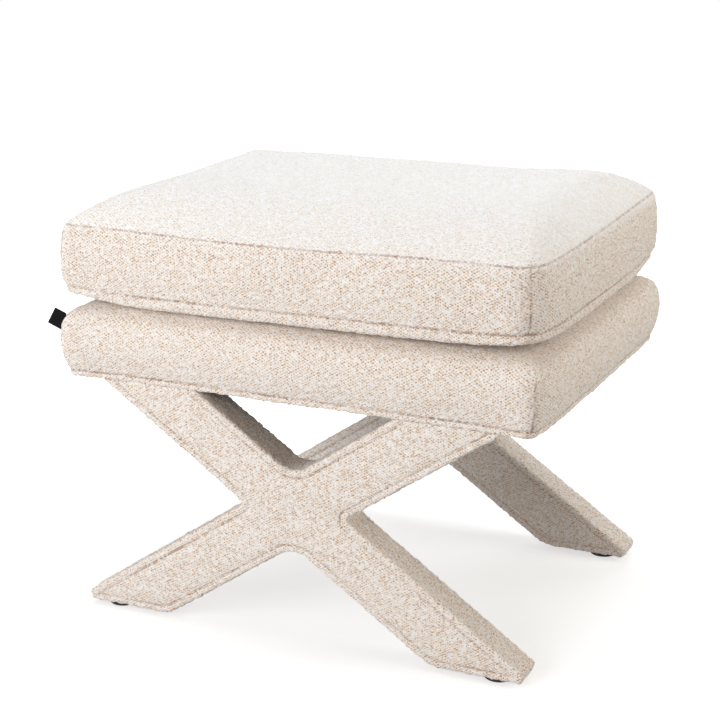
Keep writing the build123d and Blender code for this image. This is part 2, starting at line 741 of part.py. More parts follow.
nodes["cushion_foam_core"] = foam_core()
nodes["cushion_upper_wrap"], nodes["cushion_lower_wrap"] = fibre_wraps()
nodes["cushion_top_panel"] = cushion_top_panel()
nodes["cushion_bottom_panel"] = cushion_bottom_panel()
for side_name, strip in cushion_boxing().items():
    nodes[f"cushion_{side_name}_boxing"] = strip
nodes["cushion_top_welt"], nodes["cushion_bottom_welt"] = cushion_welts()
nodes["zip_tapes"] = zip_tapes()
nodes["zip_coil"] = zip_coil()
nodes["zip_slider"] = zip_slider()
nodes["zip_pull"] = zip_pull()

for node_name, shape in nodes.items():
    export_step(shape, f"parts/{node_name}.step")
print(len(nodes), "pieces written")
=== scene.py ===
# %% [markdown]
# # A cross-leg ottoman in looped cloth
# The imported model gives each piece its place and its size in metres. This lesson dresses it: the loose
# cushion, the padded base and the two covered leg frames are made again as soft goods, and the small hard
# pieces get their finishes. The frame is loaded first. The dressed ottoman has to stay in it.

# %% Load the frame
import json
import math
import bpy
import numpy as np
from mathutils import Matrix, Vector
from mathutils.kdtree import KDTree


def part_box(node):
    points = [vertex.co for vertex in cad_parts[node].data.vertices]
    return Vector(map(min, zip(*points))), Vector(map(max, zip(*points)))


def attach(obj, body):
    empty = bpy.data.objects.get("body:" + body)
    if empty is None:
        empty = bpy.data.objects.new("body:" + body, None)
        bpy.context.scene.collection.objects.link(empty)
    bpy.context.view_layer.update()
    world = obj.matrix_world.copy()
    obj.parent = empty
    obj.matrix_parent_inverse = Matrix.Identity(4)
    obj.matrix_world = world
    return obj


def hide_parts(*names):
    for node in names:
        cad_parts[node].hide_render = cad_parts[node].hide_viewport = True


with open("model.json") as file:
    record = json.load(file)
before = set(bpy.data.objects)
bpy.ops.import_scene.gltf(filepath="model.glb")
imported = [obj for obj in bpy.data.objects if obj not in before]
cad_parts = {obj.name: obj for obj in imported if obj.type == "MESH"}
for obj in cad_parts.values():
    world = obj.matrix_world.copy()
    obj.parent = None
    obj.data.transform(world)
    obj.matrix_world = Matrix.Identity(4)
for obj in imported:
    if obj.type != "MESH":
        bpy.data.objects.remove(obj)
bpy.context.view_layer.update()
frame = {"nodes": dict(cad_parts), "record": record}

MM = 0.001

# %% [markdown]
# ## Camera
# The camera was found by fitting straight edges of the real ottoman: the hem's corners and the feet. It
# stands a little to the right of the front and looks slightly down. The image is square, so the lens alone
# sets the view.

# %% Camera
EYE = Vector((0.83562, -1.85245, 0.87610))
AIM = Vector((-0.018596, 0.004274, 0.282033))
LENS = 86.27

bpy.ops.object.select_all(action="DESELECT")
bpy.ops.object.camera_add(location=EYE)
camera = bpy.context.object
camera.rotation_euler = (AIM - EYE).to_track_quat("-Z", "Y").to_euler()
camera.data.lens = LENS
bpy.context.scene.camera = camera
print("camera", round((AIM - EYE).length, 2), "m away")

# %% [markdown]
# ## Shader maths
# A material is easier to read as a formula than as a web of nodes. `Link` wraps a socket, and its operators
# add Math nodes, so `1 - 0.5 * height` is a piece of material. `Finish` holds one material, and its `node`
# method makes any other node: settings first, then the values or links of its sockets.

# %% Shader maths
def plug_in(tree, socket, value):
    """Links a socket, or sets it to a plain value."""
    if isinstance(value, Link):
        tree.links.new(value.socket, socket)
    else:
        socket.default_value = value


class Link:
    """An output socket that can be used in sums."""

    def __init__(self, tree, socket):
        self.tree = tree
        self.socket = socket

    def math(self, operation, *terms):
        node = self.tree.nodes.new("ShaderNodeMath")
        node.operation = operation
        for socket, term in zip(node.inputs, terms):
            plug_in(self.tree, socket, term)
        return Link(self.tree, node.outputs[0])

    def __add__(self, other):
        return self.math("ADD", self, other)

    def __sub__(self, other):
        return self.math("SUBTRACT", self, other)

    def __rsub__(self, other):
        return self.math("SUBTRACT", other, self)

    def __mul__(self, other):
        return self.math("MULTIPLY", self, other)

    __radd__ = __add__
    __rmul__ = __mul__


class Finish:
    """One procedural material round a Principled shader."""

    def __init__(self, name, constants):
        self.material = bpy.data.materials.new(name)
        self.material.use_nodes = True
        self.tree = self.material.node_tree
        self.shader = self.tree.nodes["Principled BSDF"]
        for socket, value in constants.items():
            self.shader.inputs[socket].default_value = value

    def node(self, kind, settings=None, plugs=None):
        node = self.tree.nodes.new("ShaderNode" + kind)
        for name, value in (settings or {}).items():
            setattr(node, name, value)
        for name, value in (plugs or {}).items():
            plug_in(self.tree, node.inputs[name], value)
        return node

    def read(self, node, output=0):
        return Link(self.tree, node.outputs[output])

    def place(self, stretch=(1, 1, 1), turn=(0, 0, 0)):
        """Object coordinates in millimetres, turned and stretched for patterns with a direction."""
        spot = self.read(self.node("TexCoord"), "Object")
        scale = tuple(share / MM for share in stretch)
        turned = self.node("Mapping", None, {"Vector": spot, "Rotation": turn})
        return self.read(self.node("VectorMath", {"operation": "MULTIPLY"}, {0: self.read(turned), 1: scale}))

    def weave(self):
        """Across and up on the piece's own flat map, in millimetres."""
        flat = self.read(self.node("UVMap", {"uv_map": "weave"}))
        parts = self.node("SeparateXYZ", None, {0: flat})
        return self.read(parts, 0) * (1 / MM), self.read(parts, 1) * (1 / MM)

    def noise(self, place, size, detail=2.0):
        """Noise with lumps of a size in the units of its place."""
        return self.node("TexNoise", None, {"Vector": place, "Scale": 1 / size, "Detail": detail})

    def ease(self, value, low, high):
        """Zero below low, one above high, and smooth between them."""
        ramp = self.node("MapRange", {"interpolation_type": "SMOOTHSTEP"},
                         {"Value": value, "From Min": low, "From Max": high})
        return self.read(ramp)

    def patches(self, place, size, low, high):
        """Soft patches of nought and one, from noise of a size in millimetres."""
        return self.ease(self.read(self.noise(place, size, 1.0)), low, high)

    def mix(self, share, first, second):
        """A colour between two colours."""
        node = self.node("Mix", {"data_type": "RGBA"}, {0: share, 6: first, 7: second})
        return self.read(node, 2)

    def feed(self, socket, value):
        plug_in(self.tree, self.shader.inputs[socket], value)

    def emboss(self, height, depth):
        """Bump from a height of nought to one, with its depth in millimetres."""
        bump = self.node("Bump", None, {"Height": height, "Distance": depth * MM})
        self.feed("Normal", self.read(bump, "Normal"))


def shade(red, green, blue):
    """A colour from screen values, as linear light."""
    linear = [(value / 255 / 12.92 if value < 11 else ((value / 255 + 0.055) / 1.055) ** 2.4)
              for value in (red, green, blue)]
    return (*linear, 1.0)


print("shader maths ready")

# %% [markdown]
# ## The looped cloth
# The cover is a wool-like cloth of small loops. Nearly white loops stand in staggered rows on a tan ground
# that shows between them as rows of dots, and here and there a thick slub lies on top. The tan between the
# loops is partly the cloth's own and partly painted shade, drawn in place of the shadow that falls there. Two
# waves, one across the cloth and one up it, make the staggered loops when they are multiplied, and noise
# bends them so that no row is quite straight. Two attributes on the mesh help: `sewn` says how near a point
# is to a seam, and the other says where the top gets a painted sheen, which whitens the loops and lets little
# of the ground show.

# %% The looped cloth
SEAM_REACH = 20.0               # millimetres at which the sewn attribute falls to nothing
LINE_END, LINE_FULL = 2.3, 0.6  # from a seam to where its brown line ends, and to where it is full
LOOP_WIDTH = 5.5
LOOP_HEIGHT = 3.25              # over two rows, each of which is half a loop along from the next
BEND, BEND_SIZE = 2.1, 8.0      # how far noise pushes a loop out of its row, and the noise's size
FIBRE_SIZE, SLUB_SIZE, PATCH_SIZE = 1.9, 3.4, 3.8   # sizes of more noises, all in millimetres
BREAK_SIZE, FADE_SIZE = 4.0, 70.0
CREAM = shade(250, 244, 237)
# The tan below is the cloth's tan yarn, and also painted shade between the loops.
TAN_AND_SHADE = shade(178, 127, 72)
# Slub white, also the colour of the painted sheen on the top.
SLUB_AND_SHEEN = shade(252, 252, 254)
SEAM_BROWN = shade(134, 88, 52)

cloth = Finish("looped_cloth", {
    "Roughness": 0.92, "Specular IOR Level": 0.15, "Sheen Weight": 0.3, "Sheen Roughness": 0.5})
spot = cloth.place()
across, up = cloth.weave()
curl = cloth.node("SeparateXYZ", None, {0: cloth.read(cloth.noise(spot, BEND_SIZE), "Color")})
column = (across + BEND * cloth.read(curl, 0)) * (2 * math.pi / LOOP_WIDTH)
course = (up + BEND * cloth.read(curl, 1)) * (2 * math.pi / LOOP_HEIGHT)
loops = 0.5 + 0.5 * (column.math("COSINE", column) * course.math("COSINE", course))
# The gap between the loops, where the tan shows; in the colour it is partly painted shade.
gap = cloth.ease(1 - loops, 0.42, 0.84)
fibre = cloth.read(cloth.noise(spot, FIBRE_SIZE, 1.0))
slub = cloth.patches(spot, SLUB_SIZE, 0.5, 0.64)
patch = cloth.patches(spot, PATCH_SIZE, 0.4, 0.62)
speck = cloth.ease(fibre, 0.5, 0.64)
seam = cloth.read(cloth.node("Attribute", {"attribute_name": "sewn"}), "Fac")
# Painted sheen: where the top is painted paler.
nap = cloth.read(cloth.node("Attribute", {"attribute_name": "nap"}), "Fac")
line = cloth.ease(seam, SEAM_REACH - LINE_END, SEAM_REACH - LINE_FULL)
broken = cloth.patches(spot, BREAK_SIZE, 0.36, 0.58)
faded = cloth.patches(spot, FADE_SIZE, 0.36, 0.6)

# The tan between the loops is partly the cloth's own tan and partly painted shade between the loops.
ground_and_shade = (gap * (0.29 + 0.48 * patch) + 0.4 * speck) * (1 - 0.6 * nap)
loop_colour = cloth.mix(ground_and_shade, CREAM, TAN_AND_SHADE)
# Slub white, and the painted sheen that whitens the top and thins the tan ground there.
loop_colour = cloth.mix(0.7 * slub + 0.28 * nap, loop_colour, SLUB_AND_SHEEN)
thread = line * (0.14 + 0.52 * broken) * (0.5 + 0.5 * faded)
cloth.feed("Base Color", cloth.mix(thread, loop_colour, SEAM_BROWN))
cloth.feed("Roughness", 0.88 + 0.1 * gap)
cloth.emboss(0.2 * slub + 0.3 * fibre - 0.5 * gap - 0.2 * line, 0.5)
print("looped cloth of", len(cloth.tree.nodes), "nodes")

# %% [markdown]
# ## Working by hand in code
# Each piece starts as a primitive and is shaped in edit mode, so a few helpers put the tools down between
# steps, apply a modifier, and read or move all the points of a mesh at once.

# %% Helpers
def begin():
    """Object mode with nothing selected, ready for a new primitive."""
    if bpy.context.mode != "OBJECT":
        bpy.ops.object.mode_set(mode="OBJECT")
    bpy.ops.object.select_all(action="DESELECT")


def take_up(piece):
    """Object mode, with this piece alone selected and active."""
    begin()
    piece.select_set(True)
    bpy.context.view_layer.objects.active = piece


def shape_with(piece, kind, **settings):
    """Adds a modifier and applies it at once."""
    take_up(piece)
    modifier = piece.modifiers.new(kind.lower(), kind)
    for name, value in settings.items():
        setattr(modifier, name, value)
    bpy.ops.object.modifier_apply(modifier=modifier.name)


def points_of(piece):
    """The places of all the points of a mesh, in metres."""
    flat = np.empty(3 * len(piece.data.vertices), np.float32)
    piece.data.vertices.foreach_get("co", flat)
    return flat.reshape(-1, 3).astype(float)


def normals_of(piece):
    """The direction that the surface faces at each point."""
    flat = np.empty(3 * len(piece.data.vertices), np.float32)
    piece.data.vertex_normals.foreach_get("vector", flat)
    return flat.reshape(-1, 3).astype(float)


def move_points(piece, points):
    """Puts all the points of a mesh in new places."""
    piece.data.vertices.foreach_set("co", np.ascontiguousarray(points, np.float32).ravel())
    piece.data.update()


def put_into_mesh(piece):
    """Moves a piece's place, turn and scale into its mesh."""
    take_up(piece)
    bpy.ops.object.transform_apply(location=True, rotation=True, scale=True)


def lay_weave(piece):
    """Gives a piece its flat map in metres: each face is seen along the axis that it faces most."""
    mesh = piece.data
    flat = np.empty(3 * len(mesh.polygons), np.float32)
    mesh.polygons.foreach_get("normal", flat)
    facing = np.abs(flat.reshape(-1, 3)).argmax(1)
    corners = np.empty(len(mesh.polygons), np.int32)
    mesh.polygons.foreach_get("loop_total", corners)
    facing = np.repeat(facing, corners)
    index = np.empty(len(mesh.loops), np.int32)
    mesh.loops.foreach_get("vertex_index", index)
    spots = points_of(piece)[index]
    across = np.where(facing == 0, spots[:, 1], spots[:, 0])
    up = np.where(facing == 2, spots[:, 1], spots[:, 2])
    layer = mesh.uv_layers.new(name="weave")
    layer.uv.foreach_set("vector", np.column_stack([across, up]).astype(np.float32).ravel())


def dress(piece, finish, body, slot, *nodes):
    """Gives a finished piece its material and its body, and hides the nodes that it stands for. The slot is
    not used.
    """
    piece.data.materials.clear()
    piece.data.materials.append(finish.material)
    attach(piece, body)
    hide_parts(*nodes)


print("helpers ready")

# %% [markdown]
# ## A sewn box
# The cushion and the base are both sewn boxes: flat panels joined to side strips. A grid becomes the bottom
# panel, and it is extruded upwards row by row, each row drawn in or let out, until the last row is the top
# panel. Then the plan corners are rounded: a point in a corner square slides on to the quarter disc in it.

# %% A sewn box
LEAST_RADIUS = 5.0
CROWN_CURVE = 2.2               # higher is steeper at the edge and flatter in the middle


def sewn_box(name, half, side_rows, cell):
    """A closed box from rows of (inset, height), with square corners, all in millimetres."""
    half_x, half_y = half
    first_inset, first_height = side_rows[0]
    begin()
    bpy.ops.mesh.primitive_grid_add(
        x_subdivisions=round(2 * half_x / cell), y_subdivisions=round(2 * half_y / cell),
        size=2, location=(0, 0, first_height * MM))
    box = bpy.context.object
    box.name = name
    box.scale = ((half_x - first_inset) * MM, (half_y - first_inset) * MM, 1)
    put_into_mesh(box)
    bpy.ops.object.mode_set(mode="EDIT")
    bpy.ops.mesh.select_all(action="SELECT")
    for (old_inset, old_height), (inset, height) in zip(side_rows, side_rows[1:]):
        bpy.ops.mesh.extrude_region_move(TRANSFORM_OT_translate={"value": (0, 0, (height - old_height) * MM)})
        bpy.ops.transform.resize(
            value=((half_x - inset) / (half_x - old_inset), (half_y - inset) / (half_y - old_inset), 1),
            center_override=(0, 0, height * MM))
    bpy.ops.mesh.select_all(action="SELECT")
    bpy.ops.mesh.normals_make_consistent(inside=False)
    bpy.ops.object.mode_set(mode="OBJECT")
    return box


class BoxPlan:
    """What is known of each point of a sewn box: its row, its corner, and how far in from the edge it is."""

    def __init__(self, box, half, side_rows):
        points = points_of(box) / MM
        heights = np.array([height for _, height in side_rows])
        insets = np.array([inset for inset, _ in side_rows])
        self.row = np.abs(points[:, 2:] - heights).argmin(1)
        self.inset = insets[self.row]
        self.side = np.where(points[:, :2] < 0, -1, 1)
        self.edge = np.array(half) - self.inset[:, None]
        self.reach = np.abs(points[:, :2])
        self.in_from_edge = self.edge - self.reach
        self.on_corner = self.in_from_edge.sum(1) < 1e-3
        self.from_corner = np.hypot(self.in_from_edge[:, 0], self.in_from_edge[:, 1])

    def by_corner(self, values):
        """A value for each point, from a dictionary with one value for each plan corner."""
        return np.array([values[int(x), int(y)] for x, y in self.side], float)


def round_corners(box, plan, radii):
    """Slides the points of each corner square on to the quarter disc in it."""
    points = points_of(box)
    radius = np.maximum(plan.by_corner(radii) - plan.inset, LEAST_RADIUS)[:, None]
    out = plan.reach - (plan.edge - radius)
    in_square = (out > 0).all(1)
    pull = out.max(1) / np.maximum(np.hypot(out[:, 0], out[:, 1]), 1e-9)
    rounded = plan.edge - radius + out * pull[:, None]
    points[in_square, :2] = (rounded * plan.side)[in_square] * MM
    move_points(box, points)


def shift_corner_seams(box, plan, shift, spread):
    """Slides the front corners' seams along the cover, towards the front."""
    points = points_of(box)
    front = plan.side[:, 1] < 0
    amount = shift * np.exp(-(plan.from_corner / spread) ** 2) * front / math.sqrt(2)
    points[:, 0] -= plan.side[:, 0] * amount * MM
    points[:, 1] -= amount * MM
    move_points(box, points)


def poke_corners(box, plan, amounts, spread):
    """Pushes each plan corner out along its diagonal."""
    points = points_of(box)
    amount = plan.by_corner(amounts) * np.exp(-(plan.from_corner / spread) ** 2) / math.sqrt(2)
    points[:, :2] += plan.side * amount[:, None] * MM
    move_points(box, points)


def crown_up(box, plan, picked, rise, runs):
    """Raises the picked points into a crown: steep at the edge, flat in the middle, full at the corners."""
    points = points_of(box)
    front_run = np.interp(points[:, 0], (points[:, 0].min(), 0), (runs["front left"], runs["front"]))
    run = np.column_stack([np.where(plan.side[:, 0] < 0, runs["left"], runs["right"]),
                           np.where(plan.side[:, 1] < 0, front_run, runs["rear"])])
    share = np.clip(plan.in_from_edge / run, 1e-6, 1)
    from_side = np.maximum(1 - (1 - share) ** CROWN_CURVE, 1e-6)
    lift = rise / np.sqrt((from_side ** -2).sum(1) - 1)
    points[picked, 2] += lift[picked] * MM
    move_points(box, points)


def mark(box, group, picked):
    """Puts the picked points into a new vertex group."""
    chosen = [int(index) for index in np.flatnonzero(picked)]
    box.vertex_groups.new(name=group).add(chosen, 1.0, "REPLACE")


def group_weights(piece, group):
    """The weight of every point in a vertex group."""
    index = piece.vertex_groups[group].index
    weights = np.zeros(len(piece.data.vertices))
    for vertex in piece.data.vertices:
        for entry in vertex.groups:
            if entry.group == index:
                weights[vertex.index] = entry.weight
    return weights


print("sewn boxes can be cut")

# %% [markdown]
# ## Stuffing
# A stuffed cover swells between its seams. Blender's cloth does that: the seams are pinned, gravity is off,
# and pressure from inside pushes the panels out for twenty frames. No point may move further than a limit,
# so the box keeps its size. The result is applied, and the sewn lines are then pressed in.

# %% Stuffing
FRAMES = 20
SEAM_DEPTH = 0.4                # how far the thread pulls the cloth in
SEAM_WIDTH = 1.8


def stuff(box, pressure, limit):
    """Swells a sewn box by cloth simulation, with its sewn and resting rows pinned."""
    start = points_of(box)
    take_up(box)
    fabric = box.modifiers.new("stuffing", "CLOTH")
    fabric.settings.quality = 6
    fabric.settings.mass = 0.3
    fabric.settings.tension_stiffness = 12
    fabric.settings.compression_stiffness = 12
    fabric.settings.shear_stiffness = 4
    fabric.settings.bending_stiffness = 1.5
    fabric.settings.vertex_group_mass = "pinned"
    fabric.settings.use_pressure = True
    fabric.settings.uniform_pressure_force = pressure
    fabric.settings.effector_weights.gravity = 0
    fabric.collision_settings.use_collision = False
    fabric.point_cache.frame_start = 1
    fabric.point_cache.frame_end = FRAMES
    for number in range(1, FRAMES + 1):
        bpy.context.scene.frame_set(number)
    bpy.ops.object.modifier_apply(modifier=fabric.name)
    bpy.context.scene.frame_set(1)
    moved = points_of(box) - start
    length = np.linalg.norm(moved, axis=1, keepdims=True)
    move_points(box, start + moved * np.minimum(1, limit * MM / np.maximum(length, 1e-9)))
    print(box.name, "swelled by up to", round(float(length.max()) / MM, 1), "mm, held to", limit)


def press_seams(piece, seam_points):
    """Keeps how near each point is to a seam, and sinks the cloth there."""
    tree = KDTree(len(seam_points))
    for index, point in enumerate(seam_points):
        tree.insert(point, index)
    tree.balance()
    points = points_of(piece)
    gap = np.array([tree.find(point)[2] for point in points]) / MM
    sewn = piece.data.attributes.new("sewn", "FLOAT", "POINT")
    sewn.data.foreach_set("value", np.maximum(0, SEAM_REACH - gap).astype(np.float32))
    sink = SEAM_DEPTH * MM * np.exp(-(gap / SEAM_WIDTH) ** 2)
    move_points(piece, points - normals_of(piece) * sink[:, None])


def add_lumps(piece, height, size, name):
    """Lumps all over a piece, of a height and size in millimetres."""
    lumps = bpy.data.textures.new(piece.name + name, "CLOUDS")
    lumps.noise_scale = size * MM
    lumps.noise_depth = 1
    shape_with(piece, "DISPLACE", texture=lumps, texture_coords="LOCAL", strength=height * MM, mid_level=0.45)


def raise_loops(piece, height, size):
    """The loops' own lumps, so that the edge of the cloth isn't a clean line."""
    lay_weave(piece)
    add_lumps(piece, height, size, "_loops")
    take_up(piece)
    bpy.ops.object.shade_smooth()


def sewn_spots(piece):
    """The places of the points that lie on a sewn line."""
    return [Vector(spot) for spot in points_of(piece)[group_weights(piece, "sewn_line") > 0.99]]


print("stuffing takes", FRAMES, "frames")

# %% [markdown]
# ## The cushion
# The loose cushion has a crowned top panel, boxing strips with a seam at each corner, and a rolled edge along
# the bottom seam. The rows below run from the bottom panel, round the rolled edge, up the boxing and over the
# top seam. The filling doesn't reach the lower corners, so they tuck up, the front left one most of all.

# %% The cushion
CUSHION_HALF = (297.5, 226.0)
CUSHION_ROWS = [
    (26.0, 379.3), (13.0, 379.6), (6.8, 381.8), (4.2, 386.2), (4.4, 391.2), (5.2, 394.8), (3.8, 398.2),
    (2.6, 402.4), (1.4, 407.0), (0.7, 412.5), (0.4, 417.9), (0.4, 430.7), (0.6, 438.0), (1.4, 448.0),
    (2.6, 457.0), (4.2, 464.0), (6.8, 468.6), (9.6, 471.4)]
BOTTOM_SEAM = 5
TOP_SEAM = 16
CUSHION_CORNERS = {(-1, -1): 16, (1, -1): 38, (-1, 1): 22, (1, 1): 18}
CUSHION_TUCKS = {(-1, -1): 9, (1, -1): 5, (-1, 1): 9, (1, 1): 10}
CUSHION_PERKS = {(-1, -1): 3, (1, -1): 0, (-1, 1): -4, (1, 1): 0.5}
CUSHION_POKES = {(-1, -1): 1, (1, -1): 0, (-1, 1): 0, (1, 1): 0.5}
CUSHION_SHIFT = -5.0            # the real one lies a little to the left on its base
RIGHT_RISE = 5.0                # its right side lies a little higher
REAR_RISE = 6.5                 # and so does its top at the rear
CUSHION_CELL = 11.0
CROWN = 32.0
CROWN_RUNS = {"front": 150.0, "front left": 75.0, "rear": 78.0, "left": 66.0, "right": 50.0}
TUCK_IN = 0.25                  # how far a tucked corner is drawn in, as a share of its lift
FOAM_LOW, FOAM_RISE = 425.0, 40.0   # the foam holds the cover up from this height, and fully this much above
WANDER, WANDER_ROWS = 1.6, 1.6  # how far the top seam runs up and down, and how many rows go with it
WANDER_LENGTH = 0.4             # metres from one rise of the seam to the next
WANDER_SKEW, WANDER_START = 0.6, 0.45


def tuck_corners(box, plan, tucks, top, spread):
    """Lifts the lower corners and draws them in, less and less up to a given height."""
    points = points_of(box)
    low = np.clip((top * MM - points[:, 2]) / (top * MM - points[:, 2].min()), 0, 1)
    amount = plan.by_corner(tucks) * MM * np.exp(-(plan.from_corner / spread) ** 2) * low
    points[:, 2] += amount
    points[:, :2] -= plan.side * TUCK_IN * amount[:, None]
    move_points(box, points)


def held_up(points):
    """Nought low on the cushion, and one where the foam fully holds the cover up."""
    return np.clip((points[:, 2] / MM - FOAM_LOW) / FOAM_RISE, 0, 1)


def perk_corners(box, plan, perks, spread):
    """Raises the upper corners, where the foam holds them up."""
    points = points_of(box)
    rise = plan.by_corner(perks) * MM * np.exp(-(plan.from_corner / spread) ** 2)
    points[:, 2] += rise * held_up(points)
    move_points(box, points)


def wander_seam(box, plan, seam_row):
    """Lets the top seam run a little up and down, as a hand-guided seam does."""
    points = points_of(box)
    near = np.exp(-((plan.row - seam_row) / WANDER_ROWS) ** 2)
    along = points[:, 0] + WANDER_SKEW * points[:, 1] + WANDER_START
    points[:, 2] += WANDER * MM * near * np.sin(2 * math.pi * along / WANDER_LENGTH)
    move_points(box, points)


def tilt_up(box, right_rise, rear_rise):
    """Raises the right side, and the upper part of the rear side."""
    points = points_of(box)
    share = np.clip(0.5 + points[:, :2] / np.ptp(points[:, :2], axis=0), 0, 1)
    rear = rear_rise * share[:, 1] ** 2 * held_up(points)
    points[:, 2] += (right_rise * share[:, 0] ** 1.4 + rear) * MM
    move_points(box, points)


cushion = sewn_box("cushion", CUSHION_HALF, CUSHION_ROWS, CUSHION_CELL)
plan = BoxPlan(cushion, CUSHION_HALF, CUSHION_ROWS)
round_corners(cushion, plan, CUSHION_CORNERS)
shift_corner_seams(cushion, plan, shift=5.0, spread=40.0)
poke_corners(cushion, plan, CUSHION_POKES, spread=45.0)
crown_up(cushion, plan, plan.row == len(CUSHION_ROWS) - 1, CROWN, CROWN_RUNS)
tuck_corners(cushion, plan, CUSHION_TUCKS, top=408.0, spread=55.0)
perk_corners(cushion, plan, CUSHION_PERKS, spread=62.0)
wander_seam(cushion, plan, TOP_SEAM)
tilt_up(cushion, RIGHT_RISE, REAR_RISE)
corner_seams = plan.on_corner & (plan.row >= BOTTOM_SEAM) & (plan.row <= TOP_SEAM)
mark(cushion, "sewn_line", (plan.row == BOTTOM_SEAM) | (plan.row == TOP_SEAM) | corner_seams)
mark(cushion, "pinned", (plan.row <= BOTTOM_SEAM) | (plan.row == TOP_SEAM))
print("cushion cut, with", len(cushion.data.vertices), "points")

# %% [markdown]
# The cover is stuffed, made smooth and sewn. At the rear, a slot in the boxing lets the zip show: the cloth
# there is set back behind the zip, and a stitched line runs along each side of it. The top gets a painted
# sheen, which makes it paler, less so near the front edge, whose slope catches more lamp light, and an
# attribute carries it to the cloth's finish.

# %% Stuff and sew the cushion
tape_low, tape_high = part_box("zip_tapes")
ZIP_BACK = tape_low.y - 1.6 * MM
ZIP_LOW, ZIP_HIGH = tape_low.z - 0.2 * MM, tape_high.z + 0.2 * MM
ZIP_END = tape_high.x
ZIP_STITCH = 3.0                # slot to the stitched line beside it
REAR_Y = 0.19                   # the rear boxing lies further back than this, in metres
PAINTED_SHEEN_LOW, PAINTED_SHEEN_RISE = 0.467, 0.006    # height in metres at which the painted sheen starts, and over which it grows
PAINTED_SHEEN_FRONT, PAINTED_SHEEN_FULL_Y = 0.45, -0.05     # share of painted sheen at the front edge, and where it is full

stuff(cushion, pressure=4.0, limit=3.0)
shape_with(cushion, "SUBSURF", levels=2, render_levels=2)
cushion.location.x = CUSHION_SHIFT * MM
put_into_mesh(cushion)
add_lumps(cushion, height=2.4, size=110.0, name="_give")
edge_y = CUSHION_HALF[1] * MM
stitches = [Vector((x, edge_y, z)) for x in np.arange(-ZIP_END, ZIP_END, MM)
            for z in (ZIP_LOW - ZIP_STITCH * MM, ZIP_HIGH + ZIP_STITCH * MM)]
press_seams(cushion, sewn_spots(cushion) + stitches)
points = points_of(cushion)
# A painted sheen on the top panel: paler from the top seam up, less so near the front edge.
painted_sheen_share = np.clip((points[:, 2] - PAINTED_SHEEN_LOW) / PAINTED_SHEEN_RISE, 0, 1)
painted_sheen_share *= np.interp(points[:, 1], (-edge_y, PAINTED_SHEEN_FULL_Y), (PAINTED_SHEEN_FRONT, 1))
painted_sheen_layer = cushion.data.attributes.new("nap", "FLOAT", "POINT")
painted_sheen_layer.data.foreach_set("value", painted_sheen_share.astype(np.float32))
raise_loops(cushion, height=3.5, size=3.4)
points = points_of(cushion)
by_zip = (points[:, 1] > REAR_Y) & (np.abs(points[:, 0]) < ZIP_END + 2 * MM)
slot = by_zip & (points[:, 2] > ZIP_LOW) & (points[:, 2] < ZIP_HIGH)
points[slot, 1] = np.minimum(points[slot, 1], ZIP_BACK)
move_points(cushion, points)
dress(cushion, cloth, "cushion", "looped_cloth", "cushion_foam_core", "cushion_upper_wrap",
      "cushion_lower_wrap", "cushion_top_panel", "cushion_bottom_panel", "cushion_front_boxing",
      "cushion_left_boxing", "cushion_right_boxing", "cushion_rear_upper_boxing",
      "cushion_rear_lower_boxing", "cushion_top_welt", "cushion_bottom_welt")
print("cushion of", len(cushion.data.polygons), "faces")

# %% [markdown]
# ## The padded base
# The base is a wooden box under wadding and cloth. Its sides swell from the hem, and a rounded shoulder
# closes over the top, where the cushion lies. A rolled hem runs along the underside, with a sewn line above.

# %% The padded base
BASE_HALF = (300.0, 230.0)
BASE_ROWS = [
    (22, 292.8), (13.5, 292.0), (9.0, 292.1), (7.6, 295.8), (8.6, 299.8), (6.4, 302.6), (4.6, 308.0),
    (2.4, 316.0), (0.7, 326.0), (0.0, 336.0), (0.2, 345.8), (1.4, 354.8), (4.6, 363.6), (12.0, 370.7),
    (24.0, 375.2), (38.0, 376.4)]
HEM_SEAM = 4
CORNER_SEAM_TOP = 11            # the corner seams show up to the shoulder
BASE_CORNERS = {(-1, -1): 12, (1, -1): 20, (-1, 1): 16, (1, 1): 16}
BASE_POKES = {(-1, -1): 4, (1, -1): 0, (-1, 1): 1, (1, 1): -1.5}
BASE_CELL = 12.0

base = sewn_box("base_cover", BASE_HALF, BASE_ROWS, BASE_CELL)
plan = BoxPlan(base, BASE_HALF, BASE_ROWS)
round_corners(base, plan, BASE_CORNERS)
shift_corner_seams(base, plan, shift=7.0, spread=45.0)
poke_corners(base, plan, BASE_POKES, spread=40.0)
top_row = len(BASE_ROWS) - 1
corner_seams = plan.on_corner & (plan.row >= HEM_SEAM) & (plan.row <= CORNER_SEAM_TOP)
mark(base, "sewn_line", (plan.row == HEM_SEAM) | corner_seams)
mark(base, "pinned", (plan.row <= HEM_SEAM) | (plan.row == top_row))
stuff(base, pressure=4.0, limit=2.0)
shape_with(base, "SUBSURF", levels=2, render_levels=2)
add_lumps(base, height=1.8, size=90.0, name="_give")
press_seams(base, sewn_spots(base))
raise_loops(base, height=3.5, size=3.4)
dress(base, cloth, "base", "looped_cloth", "base_front_band", "base_rear_band", "base_left_band",
      "base_right_band", "hem_welt", "side_wadding", "deck_foam")
print("base of", len(base.data.polygons), "faces")

# %% [markdown]
# ## The covered leg frames
# Each frame is two crossing beams in one sewn cover. Two boxes are laid across each other, joined by a
# Boolean, and cut off level at the floor and under the base. The notches and toes are rounded with a bevel,
# and the faces' edges get the roll of the sewn edge. A voxel remesh then gives small even faces for the
# cloth. All lengths here are in metres.

